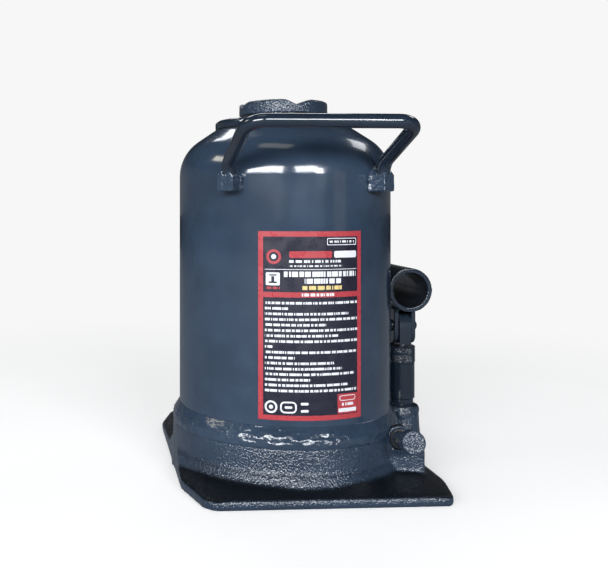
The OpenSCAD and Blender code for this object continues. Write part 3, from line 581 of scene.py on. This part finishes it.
weld_line = (
    refine([(SHELL_R - 0.4, WELD_FOOT), (72.0, WELD_FOOT)], 1.2)
    + refine([(73.1, COLLAR_TOP - 1.4), (73.4, COLLAR_TOP - 0.2), (73.45, COLLAR_TOP + 1.8),
              (73.1, COLLAR_TOP + 4), (72.1, COLLAR_TOP + 6.2), (70.8, COLLAR_TOP + 8.3),
              (69.6, WELD_TOP), (69.05, WELD_TOP + 1)], 0.6)
    + [(SHELL_R - 0.4, WELD_TOP + 0.6)])
weld = lathe("reservoir_weld", weld_line, 720, bead)
shade(weld)
place(weld, "jack_body", "enamel", WELD)

KNURLS, KNURL_LEAD, KNURL_DEPTH = 26, 60.0, 0.55


def knurled(r, z, a):
    """Diamond knurl on the pump's grip, smooth elsewhere."""
    if r < BARREL_R - 0.2 or not KNURL_Z0 < z < KNURL_Z1:
        return r
    lead = z * 2 * math.pi / KNURL_LEAD
    first = abs(((a + lead) * KNURLS / (2 * math.pi)) % 1 - 0.5) * 2
    second = abs(((a - lead) * KNURLS / (2 * math.pi)) % 1 - 0.5) * 2
    return r - KNURL_DEPTH * (1 - min(first, second) ** 0.8)


BARREL_BORE_R = 5.6
barrel_line = (
    refine([(BARREL_BORE_R, BARREL_Z0), (8.45, BARREL_Z0)], 1.5)
    + refine([(8.45, 36.4), (8.0, 36.9), (7.6, 37.3), (7.6, 40.0), (7.9, 40.4), (8.5, 40.9),
              (8.5, 64.2), (8.1, 64.6), (8.1, 65.0), (BARREL_R, KNURL_Z0)], 1.0)
    + refine([(BARREL_R, KNURL_Z0 + 0.05), (BARREL_R, KNURL_Z1)], 0.28)
    + refine([(BARREL_R, KNURL_Z1 + 0.05), (8.5, 75.95), (BARREL_BORE_R, BARREL_Z1)], 0.8)
    + refine([(BARREL_BORE_R, 75.9), (BARREL_BORE_R, 36.1)], 8))
barrel = lathe("pump_cylinder", barrel_line, 300, knurled, at=PUMP)
shade(barrel, 32)
place(barrel, "jack_body", "enamel", FORGED, "pump_barrel")

THREAD_DEPTH, ROOT_SHARE, FLANK_SHARE = 2.0, 0.28, 0.36
THREAD_Z0, THREAD_Z1 = SCREW_Z0 + 6, SCREW_Z1 - 1.5


def threaded(r, z, a):
    """Right-hand trapezoidal thread with a plain lead at both ends."""
    if r < SCREW_R - 0.01 or not THREAD_Z0 < z < THREAD_Z1:
        return r
    phase = (z / PITCH - a / (2 * math.pi)) % 1
    flank = min(1.0, max(0.0, (abs(phase - 0.5) * 2 - ROOT_SHARE) / FLANK_SHARE))
    fade = min(1.0, (z - THREAD_Z0) / 3, (THREAD_Z1 - z) / 1.5)
    return r - THREAD_DEPTH * (1 - flank) * fade


AXIS = 0.01            # a profile ends this close to its axis
PLAIN_R = SCREW_R - 0.01
screw_line = (
    [(AXIS, SCREW_Z0), (11.4, SCREW_Z0), (PLAIN_R, SCREW_Z0 + 0.4), (PLAIN_R, 105), (11.4, 105),
     (11.4, 108), (PLAIN_R, 108)]
    + refine([(SCREW_R, 108.3), (SCREW_R, SCREW_Z1)], 0.5)
    + [(8, SCREW_Z1), (8, SCREW_TOP), (AXIS, SCREW_TOP)])
screw = lathe("threaded_screw", screw_line, 96, threaded, closed=False)
shade(screw, 40)
place(screw, "screw", "plain_steel", STEEL, "extension_screw")

handle_path = bend_path([(-HANDLE_X, HANDLE_Y, LEG_FOOT_Z), (-HANDLE_X, HANDLE_Y, KNEE_Z),
                         (GRIP_LEAN - HANDLE_X, GRIP_Y, GRIP_Z),
                         (GRIP_LEAN + HANDLE_X, GRIP_Y, GRIP_Z),
                         (HANDLE_X, HANDLE_Y, KNEE_Z), (HANDLE_X, HANDLE_Y, LEG_FOOT_Z)], ROD_BEND)
handle = sweep("carry_bar", handle_path, ROD_R)
shade(handle, 50)
place(handle, "jack_body", "enamel", ROD, "carry_handle")

# The bung is turned upright, then laid on its side at the back of the reservoir
plug_line = [(0.02, 72.8), (2.4, 72.9), (4.6, 72.6), (6.6, 72.0), (8.2, 71.2), (8.9, 70.2),
             (9.0, 69.3), (8.6, PLUG_R), (5.9, PLUG_R), (5.6, 68.6), (5.6, 62.4), (5.0, 62.0),
             (0.02, 62.0)]
plug = lathe("filler_bung", plug_line, 64, closed=False)
plug.data.transform(Matrix.Translation((0, 0, PLUG_Z * MM))
                    @ Matrix.Rotation(math.radians(-90), 4, "X"))
shade(plug, 40)
place(plug, "filler_plug", "plug_rubber", PLUG, "filler_plug")

# The two valve springs, each a copy of its CAD node with its own mesh
for name, node, joint in (("discharge_coil", "discharge_spring", "discharge_ball_drop"),
                          ("overload_coil", "overload_spring", "overload_ball_drop")):
    coil = copy_of(name, node)
    shade(coil, 40)
    place(coil, "jack_body", "plain_steel", STEEL, node)
    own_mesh(coil)


# ---------------------------------------------------------------- label

def label_sheet():
    """Thin curved film with a flat chart of itself, in millimetres, as its UV map."""
    cols, rows, thick = 60, 2, 0.24
    verts, faces, chart = [], [], []
    first = math.radians(270 + LABEL_TURN - LABEL_WRAP / 2)
    wide = math.radians(LABEL_WRAP)
    arc = LABEL_R * wide
    for layer, r in enumerate((LABEL_R, LABEL_R - thick)):
        for j in range(rows + 1):
            for i in range(cols + 1):
                a = first + wide * i / cols
                verts.append((r * math.cos(a), r * math.sin(a), LABEL_Z0 + LABEL_H * j / rows))
                chart.append((arc * i / cols, LABEL_H * j / rows))
    stride = (cols + 1) * (rows + 1)

    def at(layer, i, j):
        return layer * stride + j * (cols + 1) + i

    for j in range(rows):
        for i in range(cols):
            faces.append((at(0, i, j), at(0, i + 1, j), at(0, i + 1, j + 1), at(0, i, j + 1)))
            faces.append((at(1, i, j), at(1, i, j + 1), at(1, i + 1, j + 1), at(1, i + 1, j)))
    for i in range(cols):
        for j, flip in ((0, False), (rows, True)):
            f = (at(0, i, j), at(1, i, j), at(1, i + 1, j), at(0, i + 1, j))
            faces.append(f[::-1] if flip else f)
    for j in range(rows):
        for i, flip in ((0, True), (cols, False)):
            f = (at(0, i, j), at(1, i, j), at(1, i, j + 1), at(0, i, j + 1))
            faces.append(f[::-1] if flip else f)
    obj = from_points("label_print", verts, faces)
    uv = obj.data.uv_layers.new(name="chart")
    for loop in obj.data.loops:
        uv.data[loop.index].uv = chart[loop.vertex_index]
    return obj, arc


def rounded_box_group():
    """Node group: how far a point is inside a rounded box, as a soft 0 to 1 mask."""
    g = bpy.data.node_groups.new("rounded_box", "ShaderNodeTree")
    for name in ("U", "V", "Left", "Low", "Wide", "High", "Round"):
        g.interface.new_socket(name, in_out="INPUT", socket_type="NodeSocketFloat")
    g.interface.new_socket("Mask", in_out="OUTPUT", socket_type="NodeSocketFloat")
    gi, go = g.nodes.new("NodeGroupInput"), g.nodes.new("NodeGroupOutput")

    def m(op, a, b=0.0):
        n = g.nodes.new("ShaderNodeMath")
        n.operation = op
        for v, s in ((a, n.inputs[0]), (b, n.inputs[1])):
            if isinstance(v, bpy.types.NodeSocket):
                g.links.new(v, s)
            else:
                s.default_value = v
        return n.outputs[0]

    o = gi.outputs
    far = []
    for axis, low, size in (("U", "Left", "Wide"), ("V", "Low", "High")):
        half = m("MULTIPLY", o[size], 0.5)
        centre = m("ADD", o[low], half)
        reach = m("ABSOLUTE", m("SUBTRACT", o[axis], centre))
        far.append(m("SUBTRACT", reach, m("SUBTRACT", half, o["Round"])))
    squares = [m("POWER", m("MAXIMUM", f, 0.0), 2.0) for f in far]
    outer = m("SQRT", m("ADD", *squares))
    inner = m("MINIMUM", m("MAXIMUM", far[0], far[1]), 0.0)
    gap = m("SUBTRACT", m("ADD", outer, inner), o["Round"])
    soft_edge = m("ADD", m("MULTIPLY", gap, -9.0), 0.5)
    clamp = m("MINIMUM", m("MAXIMUM", soft_edge, 0.0), 1.0)
    g.links.new(clamp, go.inputs["Mask"])
    return g


def label_material(arc):
    """Printed film: coloured fields, plain bars in place of lettering, and plain badges."""
    n = Net("label_film")
    group = rounded_box_group()
    sep = n.tree.nodes.new("ShaderNodeSeparateXYZ")
    n.put(n.uv, sep.inputs[0])
    u, v = sep.outputs[0], sep.outputs[1]

    def box(left, top, wide, high, r=0.3):
        """Mask of a box placed by its distance from the label's top left corner."""
        b = n.tree.nodes.new("ShaderNodeGroup")
        b.node_tree = group
        for key, value in (("U", u), ("V", v), ("Left", left), ("Low", LABEL_H - top - high),
                           ("Wide", wide), ("High", high), ("Round", r)):
            n.put(value, b.inputs[key])
        return b.outputs[0]

    def frame_of(left, top, wide, high, line, r):
        inner = box(left + line, top + line, wide - 2 * line, high - 2 * line, max(0.05, r - line))
        return n.math("SUBTRACT", box(left, top, wide, high, r), inner)

    def broken(mask, row, period, cut):
        """Breaks a bar into pieces of uneven length."""
        w = n.tree.nodes.new("ShaderNodeTexNoise")
        w.noise_dimensions = "1D"
        w.inputs["Scale"].default_value = 1.0 / period
        w.inputs["Detail"].default_value = 0.0
        n.put(n.math("ADD", u, row * 37.7), w.inputs["W"])
        return n.math("MULTIPLY", mask, n.ramp(w.outputs["Fac"], cut - 0.02, cut + 0.04))

    red, white, navy = (0.40, 0.040, 0.050), (0.72, 0.72, 0.75), (0.010, 0.009, 0.022)
    amber = (0.72, 0.55, 0.22)
    border = 2.9
    wide = arc - 2 * border
    colour = n.mix(box(border, border + 0.2, wide, LABEL_H - 2 * border - 0.2, 0.2), red, navy)
    layers = []

    def fill(tint, *place_of):
        layers.append((box(*place_of), tint))

    def outline(tint, *place_of):
        layers.append((frame_of(*place_of), tint))

    def bars(tint, row, period, cut, *place_of):
        layers.append((broken(box(*place_of), row, period, cut), tint))

    # head: a framed line, a plain emblem of a ring with a dot, and two fields
    outline(white, arc * 0.63, 4.0, arc * 0.31, 4.2, 0.45, 0.7)
    bars(white, 1, 1.3, 0.44, arc * 0.655, 5.5, arc * 0.26, 1.2, 0.2)
    outline(red, arc * 0.075, 10.6, 8.6, 8.6, 1.5, 4.3)
    fill(white, arc * 0.075 + 2.9, 13.5, 2.8, 2.8, 1.4)
    fill(red, arc * 0.28, 11.6, arc * 0.40, 4.0, 1.0)
    fill(white, arc * 0.70, 11.6, arc * 0.24, 4.0, 1.0)
    bars(white, 2, 1.6, 0.42, arc * 0.28, 16.9, arc * 0.49, 1.5, 0.2)
    bars(white, 3, 1.1, 0.46, arc * 0.28, 19.9, arc * 0.50, 0.9, 0.2)
    fill(white, arc * 0.06, 22.2, arc * 0.885, 0.35, 0.1)
    # a plain pictogram in a white box: a post on a foot under a beam
    fill(white, arc * 0.07, 24.2, 8.2, 7.6, 0.8)
    fill(navy, arc * 0.07 + 3.2, 26.4, 1.8, 3.6, 0.2)
    fill(navy, arc * 0.07 + 1.7, 29.5, 4.8, 1.0, 0.2)
    fill(navy, arc * 0.07 + 1.9, 25.3, 4.4, 0.8, 0.2)
    bars(red, 4, 1.2, 0.4, arc * 0.07, 32.6, 8.2, 1.4, 0.2)
    # title lines
    bars(white, 5, 1.5, 0.36, arc * 0.225, 23.6, arc * 0.71, 3.1, 0.3)
    bars(white, 6, 1.5, 0.36, arc * 0.42, 27.7, arc * 0.35, 3.0, 0.3)
    bars(amber, 7, 1.3, 0.38, arc * 0.40, 32.0, arc * 0.38, 2.3, 0.3)
    fill(red, border, 35.7, wide, 3.1, 0.05)
    bars(white, 8, 1.2, 0.38, arc * 0.39, 36.4, arc * 0.31, 1.7, 0.3)
    # body lines, each ending at a share of the width
    ends = (0.955, 0.27, 0.85, 0.955, 0.62, 0.955, 0.74, 0.95, 0.13, 0.94, 0.33, 0.70, 0.78, 0.92,
            0.48, 0.84, 0.955)
    for i, end in enumerate(ends):
        bars(white, 10 + i, 1.15, 0.40, arc * 0.062, 41.4 + 3.22 * i, arc * (end - 0.062), 1.45,
             0.25)
    # plain badges along the foot
    outline(white, arc * 0.06, 99.6, 7.4, 7.4, 1.1, 3.7)
    fill(white, arc * 0.06 + 2.5, 102.1, 2.4, 2.4, 1.2)
    outline(white, arc * 0.20, 99.9, 9.6, 6.8, 0.9, 2.6)
    fill(white, arc * 0.20 + 2.6, 102.6, 4.4, 1.4, 0.5)
    fill(white, arc * 0.385, 100.4, 4.6, 1.5, 0.7)
    fill(white, arc * 0.385, 104.6, 4.6, 1.5, 0.7)
    fill(red, arc * 0.735, 96.0, arc * 0.215, 11.6, 0.2)
    outline(white, arc * 0.755, 97.0, arc * 0.175, 3.2, 0.4, 1.5)
    bars(white, 40, 1.4, 0.42, arc * 0.78, 101.4, arc * 0.125, 1.7, 0.2)
    fill(white, arc * 0.745, 104.6, arc * 0.195, 2.2, 0.2)
    for mask, tint in layers:
        colour = n.mix(mask, colour, tint)
    aged = n.math("MULTIPLY", n.ramp(n.noise(24, 4, 0.6), 0.5, 0.8), 0.06)
    colour = n.mix(aged, colour, (0.22, 0.22, 0.25))
    ripple = n.bump(n.noise(7, 2), 0.02)
    return n.set(Base_Color=colour, Roughness=n.ramp(n.noise(6, 4), 0.35, 0.7, 0.26, 0.38),
                 Normal=ripple, Coat_Weight=0.5, Coat_Roughness=0.12)


label, label_arc = label_sheet()
shade(label, 40)
place(label, "jack_body", "label_film", label_material(label_arc), "label")


# ---------------------------------------------------------------- stage

PALE = 0.93       # the background's brightness
FLOOR_SIZE = 9000  # half the floor's width, in mm
TARGET = Vector((0, 0, 0.12))


def floor_material():
    """Pale floor with soft shadows near the jack, fading into the background further out.

    Only the camera sees it pale: to the lights and the paint's reflections it is a dim floor.
    """
    n = Net("floor_pale")
    tree = n.tree
    tone = n.ramp(n.noise(260, 3), 0.3, 0.7, 0.70, 0.73)
    grey = tree.nodes.new("ShaderNodeCombineColor")
    for k in range(3):
        n.put(tone, grey.inputs[k])
    n.set(Base_Color=grey.outputs[0], Roughness=0.8, Normal=n.bump(n.noise(4, 2), 0.01),
          Emission_Color=(1, 1, 1), Emission_Strength=0.42)
    glow = tree.nodes.new("ShaderNodeEmission")
    glow.inputs["Strength"].default_value = PALE
    far = tree.nodes.new("ShaderNodeVectorMath")
    far.operation = "LENGTH"
    n.put(n.where, far.inputs[0])
    fade = tree.nodes.new("ShaderNodeMixShader")
    n.put(n.ramp(far.outputs["Value"], 0.12, 0.75), fade.inputs[0])
    tree.links.new(n.bsdf.outputs[0], fade.inputs[1])
    tree.links.new(glow.outputs[0], fade.inputs[2])
    dim = tree.nodes.new("ShaderNodeBsdfDiffuse")
    dim.inputs["Color"].default_value = (0.26, 0.28, 0.31, 1)
    path = tree.nodes.new("ShaderNodeLightPath")
    pick = tree.nodes.new("ShaderNodeMixShader")
    n.put(path.outputs["Is Camera Ray"], pick.inputs[0])
    tree.links.new(dim.outputs[0], pick.inputs[1])
    tree.links.new(fade.outputs[0], pick.inputs[2])
    out = next(x for x in tree.nodes if x.type == "OUTPUT_MATERIAL")
    tree.links.new(pick.outputs[0], out.inputs["Surface"])
    return n.mat


floor = from_points("floor", [(x * FLOOR_SIZE, y * FLOOR_SIZE, -0.2)
                              for x, y in ((-1, -1), (1, -1), (1, 1), (-1, 1))], [(0, 1, 2, 3)])
floor.data.materials.append(floor_material())


DAYLIGHT, LAMPLIGHT = (0.94, 0.97, 1.0), (1.0, 0.97, 0.86)


def window(name, azimuth, elevation, far, wide, high, radiance, colour=DAYLIGHT):
    """Soft rectangular light, seen from the jack at an azimuth (0 the front, + the pump's side)."""
    a, e = math.radians(azimuth), math.radians(elevation)
    at = Vector((math.sin(a) * math.cos(e), -math.cos(a) * math.cos(e), math.sin(e))) * far + TARGET
    data = bpy.data.lights.new(name, "AREA")
    data.shape = "RECTANGLE"
    data.size, data.size_y = wide, high
    data.energy = radiance * math.pi * wide * high
    data.color = colour
    obj = bpy.data.objects.new(name, data)
    obj.location = at
    obj.rotation_euler = (TARGET - at).to_track_quat("-Z", "Y").to_euler()
    bpy.context.scene.collection.objects.link(obj)
    return obj


window("window_left", -32, 16, 2.0, 1.35, 0.42, 21)
window("window_right", 11, 16, 2.0, 0.80, 0.38, 19)
window("door_right", 47, 0, 2.0, 0.5, 0.8, 0.35, (1.0, 0.96, 0.90))
window("pump_lamp", 24, 13, 1.2, 0.16, 0.16, 30)
window("warm_corner", -95, 34, 2.0, 0.5, 0.3, 7, (1.0, 0.93, 0.78))
window("ceiling_lamp", -35, 76, 2.2, 0.9, 0.5, 1.3, LAMPLIGHT)
window("window_side", 118, 40, 2.0, 0.7, 0.4, 3.5)
window("window_back", 178, 46, 2.0, 1.2, 0.4, 5)
# Large soft fills that light the paint without showing in it
for name, azimuth, strength in (("fill_left", -85, 1.6), ("fill_front", -18, 0.9),
                                ("fill_back", 165, 0.9)):
    window(name, azimuth, 7, 2.2, 2.4, 1.2, strength).visible_glossy = False

world = bpy.data.worlds.new("studio")
bpy.context.scene.world = world
world.use_nodes = True
sky = world.node_tree
back = sky.nodes["Background"]
back.inputs[0].default_value = (0.92, 0.96, 1.0, 1)
# The walls are pale low down and dark higher up
look = sky.nodes.new("ShaderNodeTexCoord")
split = sky.nodes.new("ShaderNodeSeparateXYZ")
sky.links.new(look.outputs["Generated"], split.inputs[0])
wall = sky.nodes.new("ShaderNodeMapRange")
wall.interpolation_type = "SMOOTHSTEP"
for key, value in (("From Min", 0.03), ("From Max", 0.30), ("To Min", 0.14), ("To Max", 0.01)):
    wall.inputs[key].default_value = value
sky.links.new(split.outputs[2], wall.inputs["Value"])
sky.links.new(wall.outputs[0], back.inputs[1])
seen = sky.nodes.new("ShaderNodeBackground")
seen.inputs[0].default_value = (1, 1, 1, 1)
seen.inputs[1].default_value = PALE
path = sky.nodes.new("ShaderNodeLightPath")
pick = sky.nodes.new("ShaderNodeMixShader")
sky.links.new(path.outputs["Is Camera Ray"], pick.inputs[0])
sky.links.new(back.outputs[0], pick.inputs[1])
sky.links.new(seen.outputs[0], pick.inputs[2])
sky.links.new(pick.outputs[0], sky.nodes["World Output"].inputs["Surface"])

scene = bpy.context.scene
scene.view_settings.view_transform = "Standard"

camera_data = bpy.data.cameras.new("camera")
camera_data.lens = 48.8
camera_data.sensor_width = 36
camera = bpy.data.objects.new("camera", camera_data)
camera.location = (-0.128, -0.5455, 0.1748)
yaw = math.radians(3.3)
ahead = Vector((math.sin(yaw), math.cos(yaw), 0))
camera.rotation_euler = ahead.to_track_quat("-Z", "Y").to_euler()
scene.collection.objects.link(camera)
scene.camera = camera

# Uprights stay parallel, as with a shifted lens. The shift holds while the camera stands here, and
# drops to nothing where another view moves it
HERE = camera.location.x
for axis, shift in (("shift_x", 0.2714), ("shift_y", -0.1365)):
    curve = camera_data.driver_add(axis)
    while curve.modifiers:
        curve.modifiers.remove(curve.modifiers[0])
    curve.keyframe_points.clear()
    curve.keyframe_points.add(3)
    steps = ((HERE - 1.0, 0.0), (HERE - 1e-3, shift), (HERE + 1e-3, 0.0))
    for key, co in zip(curve.keyframe_points, steps):
        key.co, key.interpolation = co, "CONSTANT"
    curve.driver.type = "AVERAGE"
    follow = curve.driver.variables.new()
    follow.type = "TRANSFORMS"
    follow.targets[0].id = camera
    follow.targets[0].transform_type = "LOC_X"
    follow.targets[0].transform_space = "WORLD_SPACE"
